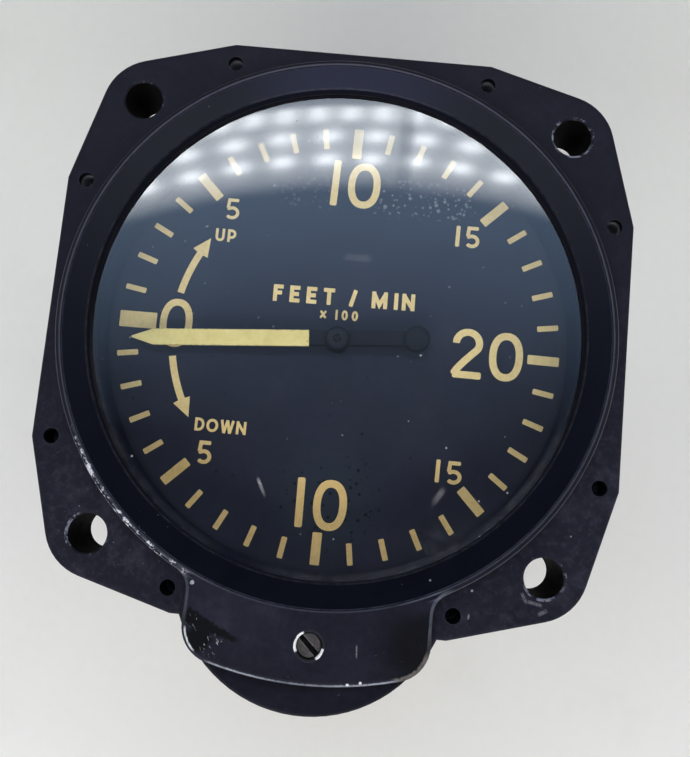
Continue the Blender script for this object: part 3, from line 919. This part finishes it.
def letters(word, x0, y0, height, w, pitch=None):
    """plain capitals, y0 is the baseline; returns outlines and the end position"""
    out = []
    x = x0
    h = w / 2.0
    for ch in word:
        H = height
        if ch == " ":
            x += H * 0.45
            continue
        if ch == "I":
            out.append(ribbon([(x + h, y0), (x + h, y0 + H)], w, w * 0.2))
            x += w + 0.22 * H
            continue
        W = {"U": 0.70, "P": 0.66, "D": 0.74, "O": 0.90, "W": 1.08, "N": 0.76, "F": 0.58, "T": 0.66, "M": 0.92,
             "E": 0.60, "/": 0.50, "x": 0.74, "1": 0.0, "0": 0.62, "H": 0.74}[ch] * H
        a, b = x + h, x + W - h
        lo, hi = y0 + h, y0 + H - h
        if ch == "U":
            r = (b - a) / 2
            out.append(ribbon([(a, y0 + H)] + arc_pts((a + b) / 2, lo + r, r, r, 180, 360, 14) + [(b, y0 + H)], w, w * 0.2))
        elif ch == "P":
            r = H * 0.27
            out.append(ribbon([(a, y0), (a, y0 + H)], w, w * 0.15))
            out.append(ribbon([(a, hi)] + arc_pts(b - r, hi - r, r, r, 90, -90, 12) + [(a, hi - 2 * r)], w, 0.01))
        elif ch == "D":
            r = (hi - lo) / 2
            rx = r * 0.86
            out.append(ribbon([(a, y0), (a, y0 + H)], w, w * 0.15))
            out.append(ribbon([(a, hi)] + arc_pts(b - rx, (lo + hi) / 2, rx, r, 90, -90, 16) + [(a, lo)], w, 0.01))
        elif ch in "O0":
            out += ring_zero(x + W / 2, y0 + H / 2, W / 2, H / 2, w, n=32, power=2.1)
        elif ch == "W":
            q = (b - a) / 4
            out.append(ribbon([(a, y0 + H), (a + q, y0)], w, w * 0.15))
            out.append(ribbon([(a + q, y0), (a + 2 * q, y0 + H)], w, w * 0.15))
            out.append(ribbon([(a + 2 * q, y0 + H), (a + 3 * q, y0)], w, w * 0.15))
            out.append(ribbon([(a + 3 * q, y0), (b, y0 + H)], w, w * 0.15))
        elif ch == "N":
            out.append(ribbon([(a, y0), (a, y0 + H)], w, w * 0.15))
            out.append(ribbon([(b, y0), (b, y0 + H)], w, w * 0.15))
            out.append(ribbon([(a, hi), (b, lo)], w, 0.01))
        elif ch == "M":
            out.append(ribbon([(a, y0), (a, y0 + H)], w, w * 0.15))
            out.append(ribbon([(b, y0), (b, y0 + H)], w, w * 0.15))
            out.append(ribbon([(a, hi), ((a + b) / 2, y0 + H * 0.22), (b, hi)], w, 0.01))
        elif ch == "F":
            out.append(ribbon([(a, y0), (a, y0 + H)], w, w * 0.15))
            out.append(ribbon([(a, hi), (x + W, hi)], w, w * 0.15))
            out.append(ribbon([(a, y0 + H * 0.52), (x + W * 0.88, y0 + H * 0.52)], w, w * 0.15))
        elif ch == "E":
            out.append(ribbon([(a, y0), (a, y0 + H)], w, w * 0.15))
            for yy, xx in ((hi, x + W), (y0 + H * 0.50, x + W * 0.90), (lo, x + W)):
                out.append(ribbon([(a, yy), (xx, yy)], w, w * 0.15))
        elif ch == "T":
            out.append(ribbon([((a + b) / 2, y0), ((a + b) / 2, y0 + H)], w, w * 0.15))
            out.append(ribbon([(x, hi), (x + W, hi)], w, w * 0.15))
        elif ch == "/":
            out.append(ribbon([(a, y0), (b, y0 + H)], w, w * 0.2))
        elif ch == "x":
            m = H * 0.80
            out.append(ribbon([(a, y0 + 0.10 * H), (b, y0 + m)], w, w * 0.2))
            out.append(ribbon([(b, y0 + 0.10 * H), (a, y0 + m)], w, w * 0.2))
        elif ch == "1":
            W = w
            out.append(ribbon([(x + h, y0), (x + h, y0 + H)], w, w * 0.2))
        x += W + (0.20 * H if pitch is None else pitch)
    return out, x


up, _ = letters("UP", -20.42, 13.80, 2.02, 0.40, 0.46)
mark_mesh("word_up", up)
dn, _ = letters("DOWN", -20.20, -15.66, 1.98, 0.40, 0.30)
mark_mesh("word_down", dn)


def legend(name, word, cx, cy, height, w, pitch, tilt):
    """a word centred at (cx, cy), turned by `tilt` degrees"""
    _, xe = letters(word, 0.0, 0.0, height, w, pitch)
    out, _ = letters(word, -(xe - pitch) / 2, -height / 2, height, w, pitch)
    mark_mesh(name, [([(q[0] + cx, q[1] + cy) for q in (rot2(p, tilt) for p in pts)], faces) for pts, faces in out])


legend("legend_unit", "FEET / MIN", 0.35, 6.72, 2.62, 0.62, 1.02, 1.0)
legend("legend_scale", "x 100", -0.2, 3.95, 1.55, 0.34, 0.60, 1.0)

# ------------------------------------------------------------------ floor, world, lights
bm = bmesh.new()
bmesh.ops.create_grid(bm, x_segments=8, y_segments=8, size=3.0)
bmesh.ops.translate(bm, verts=bm.verts, vec=(0, 0, FLOOR_Z * MM))
me = bpy.data.meshes.new("floor")
bm.to_mesh(me)
bm.free()
floor = bpy.data.objects.new("floor", me)
scene.collection.objects.link(floor)
me.materials.append(floor_mat())

world = bpy.data.worlds.new("studio")
scene.world = world
world.use_nodes = True
wt = world.node_tree
wt.nodes.clear()
w_out = wt.nodes.new("ShaderNodeOutputWorld")
w_bg = wt.nodes.new("ShaderNodeBackground")
w_tc = wt.nodes.new("ShaderNodeTexCoord")
w_dot = wt.nodes.new("ShaderNodeVectorMath")
w_dot.operation = "DOT_PRODUCT"
dark_dir = Vector((0.03, 0.02, 1.0)).normalized()
w_dot.inputs[1].default_value = dark_dir
w_nrm = wt.nodes.new("ShaderNodeVectorMath")
w_nrm.operation = "NORMALIZE"
wt.links.new(w_tc.outputs["Generated"], w_nrm.inputs[0])
wt.links.new(w_nrm.outputs[0], w_dot.inputs[0])
w_ac = wt.nodes.new("ShaderNodeMath")
w_ac.operation = "ARCCOSINE"
wt.links.new(w_dot.outputs["Value"], w_ac.inputs[0])
w_mr = wt.nodes.new("ShaderNodeMapRange")
w_mr.inputs["From Min"].default_value = 0.0
w_mr.inputs["From Max"].default_value = math.pi / 2
wt.links.new(w_ac.outputs[0], w_mr.inputs["Value"])
w_rp = wt.nodes.new("ShaderNodeValToRGB")
w_rp.color_ramp.interpolation = "EASE"
e = w_rp.color_ramp.elements
stops = [(0.00, (0.045, 0.046, 0.050)), (0.20, (0.055, 0.056, 0.060)), (0.27, (0.13, 0.132, 0.140)), (0.42, (0.40, 0.40, 0.405)),
         (0.70, (0.72, 0.715, 0.705)), (1.00, (0.95, 0.94, 0.92))]
e[0].position, e[0].color = stops[0][0], (*stops[0][1], 1)
e[1].position, e[1].color = stops[-1][0], (*stops[-1][1], 1)
for pos, col in stops[1:-1]:
    k = e.new(pos)
    k.color = (*col, 1)
wt.links.new(w_mr.outputs[0], w_rp.inputs[0])
wt.links.new(w_rp.outputs[0], w_bg.inputs["Color"])
w_bg.inputs["Strength"].default_value = 0.72
wt.links.new(w_bg.outputs[0], w_out.inputs["Surface"])


def area(name, loc, target, sx, sy, strength, color, spread=180.0):
    """soft rectangular light; strength is the radiance of its face"""
    d = bpy.data.lights.new(name, "AREA")
    d.shape = "RECTANGLE"
    d.size, d.size_y = sx * MM, sy * MM
    # radiance L of a one-sided Lambertian face: power = L * pi * area
    d.energy = strength * math.pi * (sx * MM) * (sy * MM)
    d.color = color
    d.spread = math.radians(spread)
    o = bpy.data.objects.new(name, d)
    scene.collection.objects.link(o)
    o.location = Vector(loc) * MM
    direction = (Vector(target) - Vector(loc)).normalized()
    o.rotation_mode = "QUATERNION"
    o.rotation_quaternion = direction.to_track_quat("-Z", "Y")
    o.visible_camera = False
    return o


area("soft_low", (0, -900, 700), (0, 0, -60), 900, 560, 4.7, (1.0, 0.985, 0.96))
area("soft_left", (-950, 100, 660), (0, 0, -60), 560, 560, 1.85, (1.0, 0.985, 0.96))
area("soft_right", (950, 100, 660), (0, 0, -60), 560, 560, 1.85, (1.0, 0.985, 0.96))

# lamp panel whose face shows in the glass: horizontal, above the 12 o'clock side, with rows of bulbs
CAM = (4.115482, -19.712240, 111.405381)
PANEL_H = 400.0
KF = (PANEL_H - GLASS_TOP) / (CAM[2] - GLASS_TOP)


def to_panel(gx, gy):
    return gx + (gx - CAM[0]) * KF, gy + (gy - CAM[1]) * KF


x_lo, y_lo = to_panel(-44.0, -16.0)
x_hi, y_hi = to_panel(46.0, 42.0)
panel = area("lamp_panel", ((x_lo + x_hi) / 2, (y_lo + y_hi) / 2, PANEL_H), ((x_lo + x_hi) / 2, (y_lo + y_hi) / 2, 0),
             x_hi - x_lo, y_hi - y_lo, 1.0, (1.0, 1.0, 1.0))
panel.rotation_mode = "XYZ"
panel.rotation_euler = (0, 0, 0)
panel.rotation_quaternion = (1, 0, 0, 0)
pl = panel.data
pl.use_nodes = True
pt = pl.node_tree
pt.nodes.clear()
p_out = pt.nodes.new("ShaderNodeOutputLight")
p_em = pt.nodes.new("ShaderNodeEmission")
pt.links.new(p_em.outputs[0], p_out.inputs[0])
p_geo = pt.nodes.new("ShaderNodeNewGeometry")
p_sep = pt.nodes.new("ShaderNodeSeparateXYZ")
pt.links.new(p_geo.outputs["Position"], p_sep.inputs[0])


def pm(op, a, b=0.0, clamp=False):
    n = pt.nodes.new("ShaderNodeMath")
    n.operation = op
    n.use_clamp = clamp
    for s_, v_ in zip(n.inputs, (a, b)):
        if isinstance(v_, bpy.types.NodeSocket):
            pt.links.new(v_, s_)
        else:
            s_.default_value = v_
    return n.outputs[0]


def pstep(v, a, b, c=0.0, d=1.0):
    n = pt.nodes.new("ShaderNodeMapRange")
    n.interpolation_type = "SMOOTHSTEP"
    if a > b:
        a, b, c, d = b, a, d, c
    pt.links.new(v, n.inputs["Value"])
    for k_, v_ in (("From Min", a), ("From Max", b), ("To Min", c), ("To Max", d)):
        n.inputs[k_].default_value = v_
    return n.outputs[0]


# the panel's own coordinates, scaled so that 1 is 1 mm on the glass as it shows there
gx = pm("DIVIDE", pm("ADD", pm("MULTIPLY", p_sep.outputs[0], 1000.0), CAM[0] * KF), 1.0 + KF)
gy = pm("DIVIDE", pm("ADD", pm("MULTIPLY", p_sep.outputs[1], 1000.0), CAM[1] * KF), 1.0 + KF)
cx = pm("SUBTRACT", gx, 8.0)
q = pm("ADD", gy, pm("DIVIDE", pm("MULTIPLY", cx, cx), 184.0))
body_l = pm("MULTIPLY", pstep(q, 20.0, 25.2), pstep(q, 34.6, 32.6, 0.42, 1.0))
row = pm("COSINE", pm("MULTIPLY", pm("SUBTRACT", q, 25.3), 2 * math.pi / 3.45))
row = pm("POWER", pm("ADD", pm("MULTIPLY", row, 0.5), 0.5), 1.35)
gxs = pm("DIVIDE", pm("ADD", gx, 3.7), pm("ADD", pm("MULTIPLY", pm("SUBTRACT", q, 25.3), 0.019), 1.0))
col = pm("COSINE", pm("MULTIPLY", gxs, 2 * math.pi / 6.4))
col = pm("POWER", pm("ADD", pm("MULTIPLY", col, 0.5), 0.5), 1.15)
spots = pm("MULTIPLY", pm("ADD", pm("MULTIPLY", row, pstep(q, 27.6, 26.4, 5.2, 5.4)), 1.4), col)
spots = pm("MULTIPLY", pm("MULTIPLY", spots, pstep(q, 22.2, 25.0)), pstep(q, 31.2, 30.0))
top_col = pm("COSINE", pm("MULTIPLY", pm("ADD", gx, 5.6), 2 * math.pi / 4.7))
top_row = pm("MULTIPLY", pm("MULTIPLY", pstep(q, 30.2, 32.0), pstep(q, 33.9, 32.7)), pm("ADD", pm("MULTIPLY", top_col, 1.9), 3.9))
band = pm("SUBTRACT", 1.0, pm("MULTIPLY", pstep(pm("ABSOLUTE", pm("SUBTRACT", gx, 7.4)), 1.6, 0.3), 0.35))
side = pm("MULTIPLY", pstep(gx, -42.0, -16.0, 0.95, 1.0), pstep(gx, 44.0, 24.0, 0.90, 1.0))
crescent = pm("MULTIPLY", body_l, pm("ADD", pm("MULTIPLY", row, 0.7), 4.2))
crescent = pm("ADD", pm("ADD", crescent, spots), top_row)
crescent = pm("MULTIPLY", pm("MULTIPLY", crescent, band), side)
# dim bluish surround below the lamps: falls off towards 6 o'clock
halo = pm("POWER", pstep(q, -22.0, 27.0), 1.9)
halo = pm("MULTIPLY", halo, 1.25)
p_em.inputs["Color"].default_value = (0.95, 0.98, 1.0, 1.0)
pt.links.new(crescent, p_em.inputs["Strength"])
p_em2 = pt.nodes.new("ShaderNodeEmission")
p_em2.inputs["Color"].default_value = (0.52, 0.80, 1.22, 1.0)
pt.links.new(halo, p_em2.inputs["Strength"])
p_add = pt.nodes.new("ShaderNodeAddShader")
pt.links.new(p_em.outputs[0], p_add.inputs[0])
pt.links.new(p_em2.outputs[0], p_add.inputs[1])
pt.links.new(p_add.outputs[0], p_out.inputs[0])

# ------------------------------------------------------------------ camera
R = [[0.995388484, 0.095508363, -0.008939703],
     [0.093814887, -0.988690649, -0.117002423],
     [-0.02001331, 0.115624188, -0.993091393]]
cam_data = bpy.data.cameras.new("camera")
cam = bpy.data.objects.new("camera", cam_data)
scene.collection.objects.link(cam)
cam.matrix_world = Matrix(((R[0][0], -R[1][0], -R[2][0], CAM[0] * MM),
                           (R[0][1], -R[1][1], -R[2][1], CAM[1] * MM),
                           (R[0][2], -R[1][2], -R[2][2], CAM[2] * MM),
                           (0, 0, 0, 1)))
cam_data.sensor_width = 36.0
cam_data.lens = 800.0 * 36.0 / 757.0
cam_data.clip_start = 0.005
cam_data.clip_end = 20.0
scene.camera = cam

scene.view_settings.view_transform = "Standard"
scene.view_settings.look = "None"

# ------------------------------------------------------------------ sizes and end
bpy.context.view_layer.update()
